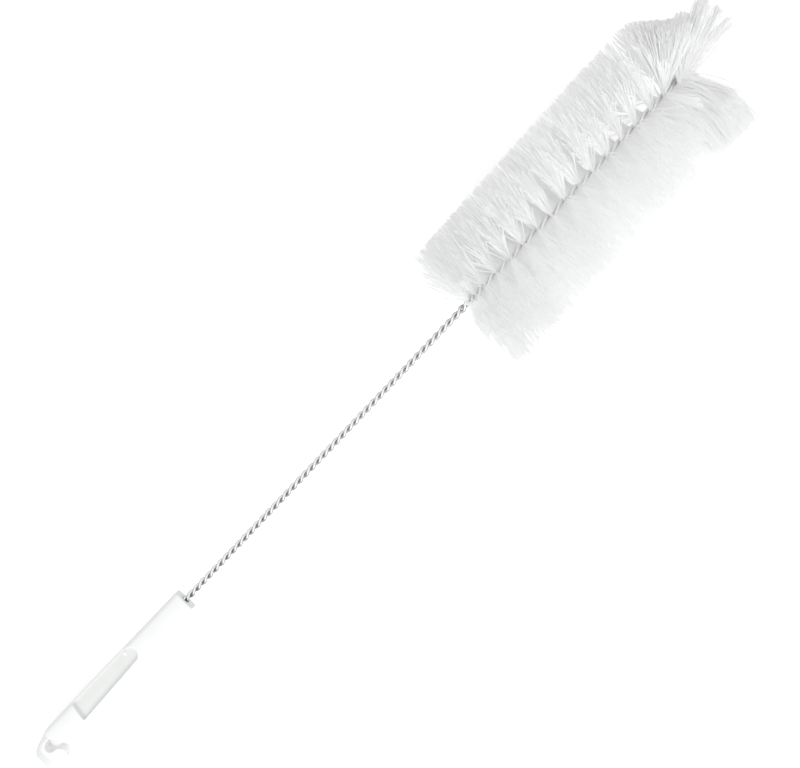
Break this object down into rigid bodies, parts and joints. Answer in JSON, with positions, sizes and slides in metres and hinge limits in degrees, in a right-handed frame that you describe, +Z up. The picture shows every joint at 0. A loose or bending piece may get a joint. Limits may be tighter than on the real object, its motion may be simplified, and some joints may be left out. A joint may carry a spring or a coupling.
{
  "type": "bottle brush",
  "caption": "Long bottle brush: a twisted wire stem with a round bristle head and a forward fan at its tip, in a slim flat handle that ends in an open hook.",
  "frame": {"origin": "on the table, under the middle of the brush as it lies at rest", "axes": "+X from the handle toward the tip of the head, +Z up, and the hook's mouth opens toward -Y"},
  "size_m": [0.3969, 0.0619, 0.0708],
  "materials": {
    "handle_plastic": "smooth satin white moulded plastic",
    "wire_steel": "bright galvanised wire with fine drawing marks",
    "bristle_nylon": "white slightly translucent nylon filament"
  },
  "bodies": {
    "root": {"handle": "handle_plastic", "wire": "wire_steel", "body_bristles": "bristle_nylon", "tip_bristles": "bristle_nylon"}
  },
  "joints": []
}
